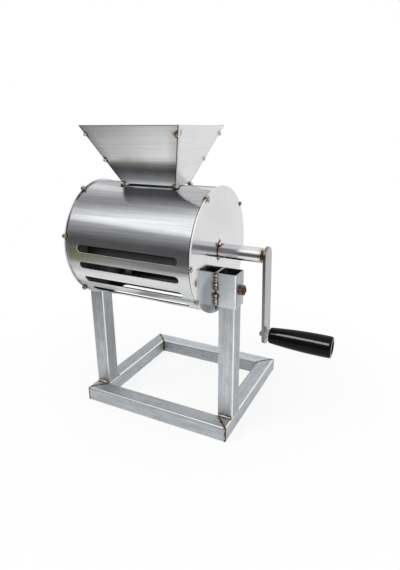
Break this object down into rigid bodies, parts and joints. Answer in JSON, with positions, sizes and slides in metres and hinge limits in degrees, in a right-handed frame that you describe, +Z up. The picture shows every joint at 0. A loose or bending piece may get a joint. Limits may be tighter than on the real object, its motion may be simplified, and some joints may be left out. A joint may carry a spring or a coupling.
{
  "type": "peanut sheller",
  "caption": "Hand-cranked peanut sheller: slotted drum with a square hopper on top and beater bars inside, clamped on the posts of a square tube stand.",
  "frame": {"origin": "middle of the front rail's underside, on the floor", "axes": "+X along the drum's axis towards the crank, +Y towards the back, +Z up"},
  "size_m": [0.391, 0.2764, 0.4385],
  "materials": {
    "galvanised_tube": "satin zinc-grey tube with fine drawn lines and duller patches",
    "stainless_sheet": "bright rolled stainless sheet, near mirror, with faint grain and heat tint at the tacks",
    "weld_bead": "bright rippled weld metal with straw and brown heat colours",
    "rusty_iron": "rusted bare iron",
    "bearing_steel": "polished round tube",
    "bronze": "plain bronze bush",
    "rotor_steel": "satin steel bar",
    "flat_bar": "dull grey rolled flat bar",
    "plated_steel": "zinc-plated fastener",
    "black_plastic": "glossy black moulded grip"
  },
  "bodies": {
    "stand": {"front_rail": "galvanised_tube", "rear_rail": "galvanised_tube", "left_rail": "galvanised_tube", "right_rail": "galvanised_tube", "left_post": "galvanised_tube", "right_post": "galvanised_tube", "post_welds": "weld_bead"},
    "drum": {"drum_shell": "stainless_sheet", "left_end_plate": "stainless_sheet", "right_end_plate": "stainless_sheet", "drum_tacks": "weld_bead", "left_socket": "galvanised_tube", "right_socket": "galvanised_tube", "left_socket_welds": "weld_bead", "right_socket_welds": "weld_bead", "left_clamp_nut": "rusty_iron", "right_clamp_nut": "rusty_iron", "bearing_tube": "bearing_steel", "bearing_boss": "bearing_steel", "bearing_tacks": "weld_bead", "crank_end_bush": "bronze", "drum_end_bush": "bronze", "left_bush": "bronze", "hopper_front": "stainless_sheet", "hopper_rear": "stainless_sheet", "hopper_left": "stainless_sheet", "hopper_right": "stainless_sheet", "hopper_tacks": "weld_bead"},
    "rotor": {"shaft": "rotor_steel", "left_spider": "rotor_steel", "right_spider": "rotor_steel", "beater_1": "rotor_steel", "beater_2": "rotor_steel", "beater_3": "rotor_steel", "beater_4": "rotor_steel", "shaft_washer": "plated_steel", "split_pin": "plated_steel", "crank_arm": "flat_bar", "crank_weld": "weld_bead", "grip_bolt": "plated_steel", "lock_nut": "plated_steel"},
    "grip_sleeve": {"grip": "black_plastic"},
    "left_clamp": {"left_clamp_screw": "rusty_iron"},
    "right_clamp": {"right_clamp_screw": "rusty_iron"}
  },
  "joints": [
    {"name": "drum_lift", "type": "slide", "parent": "stand", "child": "drum", "axis": [0, 0, 1], "range_m": [0, 0.045]},
    {"name": "crank_turn", "type": "hinge", "parent": "drum", "child": "rotor", "pos_m": [0, 0.025, 0.278], "axis": [1, 0, 0], "continuous": true},
    {"name": "grip_turn", "type": "hinge", "parent": "rotor", "child": "grip_sleeve", "pos_m": [0.2, 0.03302, 0.16328], "axis": [1, 0, 0], "continuous": true},
    {"name": "left_clamp_turn", "type": "hinge", "parent": "drum", "child": "left_clamp", "pos_m": [-0.13, 0.025, 0.226], "axis": [-1, 0, 0], "range_deg": [0, 720]},
    {"name": "right_clamp_turn", "type": "hinge", "parent": "drum", "child": "right_clamp", "pos_m": [0.13, 0.025, 0.226], "axis": [1, 0, 0], "range_deg": [0, 720]}
  ]
}
